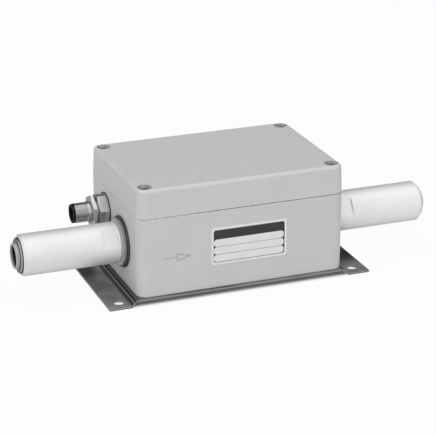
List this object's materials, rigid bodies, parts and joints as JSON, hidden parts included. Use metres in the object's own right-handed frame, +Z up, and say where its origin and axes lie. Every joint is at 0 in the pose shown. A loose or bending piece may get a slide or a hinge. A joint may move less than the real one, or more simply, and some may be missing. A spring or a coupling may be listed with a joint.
{
  "type": "air flow sensor",
  "caption": "In-line air flow sensor: grey cast box on a joggled steel plate, a flow tube with a push-in hose fitting out of each end, and a round plug connector beside the inlet.",
  "frame": {"origin": "centre of the plate's four mounting holes, on the surface that the plate stands on", "axes": "+X along the air flow from inlet to outlet, +Y to the back, away from the label, +Z up"},
  "size_m": [0.2613, 0.0932, 0.0704],
  "materials": {
    "housing_paint": "fine-textured grey paint on cast aluminium",
    "plate_steel": "dark steel sheet with bright cut edges",
    "tube_aluminium": "clear anodised, satin",
    "washer_steel": "plain turned steel",
    "screw_steel": "zinc-plated steel",
    "nickel": "nickel-plated brass",
    "black_rubber": "matt black rubber",
    "black_plastic": "black moulded plastic",
    "grey_plastic": "grey moulded plastic",
    "collar_metal": "turned metal, satin",
    "label_film": "printed film, satin",
    "brass": "gold-plated contacts",
    "board": "green circuit board",
    "spring_steel": "stainless spring steel",
    "wire": "insulated wire"
  },
  "bodies": {
    "sensor_body": {"mounting_plate": "plate_steel", "plate_screws": "screw_steel", "housing_base": "housing_paint", "housing_lid": "housing_paint", "lid_gasket": "black_rubber", "lid_screws": "screw_steel", "rating_label": "label_film", "measuring_block": "tube_aluminium", "flow_straightener": "grey_plastic", "vortex_bar": "spring_steel", "pickup_probe": "black_plastic", "probe_seal": "black_rubber", "probe_screws": "screw_steel", "circuit_board": "board", "board_screws": "screw_steel", "signal_chip": "black_plastic", "capacitors": "tube_aluminium", "trimmers": "grey_plastic", "terminal_block": "grey_plastic", "connector_wires": "wire", "probe_wires": "wire", "connector_gasket": "black_rubber", "connector_adapter": "nickel", "connector_inner_nut": "nickel", "connector_lock_nut": "nickel", "connector_shell": "nickel", "connector_insert": "black_plastic", "connector_pins": "brass", "inlet_tube": "tube_aluminium", "inlet_wall_seal": "black_rubber", "inlet_washer": "washer_steel", "inlet_face_seal": "black_rubber", "inlet_collar": "collar_metal", "inlet_grip_ring": "spring_steel", "inlet_hose_seal": "black_rubber", "outlet_tube": "tube_aluminium", "outlet_wall_seal": "black_rubber", "outlet_washer": "washer_steel", "outlet_face_seal": "black_rubber", "outlet_collar": "collar_metal", "outlet_grip_ring": "spring_steel", "outlet_hose_seal": "black_rubber"},
    "inlet_release": {"inlet_release_ring": "grey_plastic"},
    "outlet_release": {"outlet_release_ring": "grey_plastic"}
  },
  "joints": [
    {"name": "inlet_release_slide", "type": "slide", "parent": "sensor_body", "child": "inlet_release", "axis": [1, 0, 0], "range_m": [0, 0.0016], "stiffness_N_per_m": 800},
    {"name": "outlet_release_slide", "type": "slide", "parent": "sensor_body", "child": "outlet_release", "axis": [-1, 0, 0], "range_m": [0, 0.0016], "stiffness_N_per_m": 800}
  ]
}
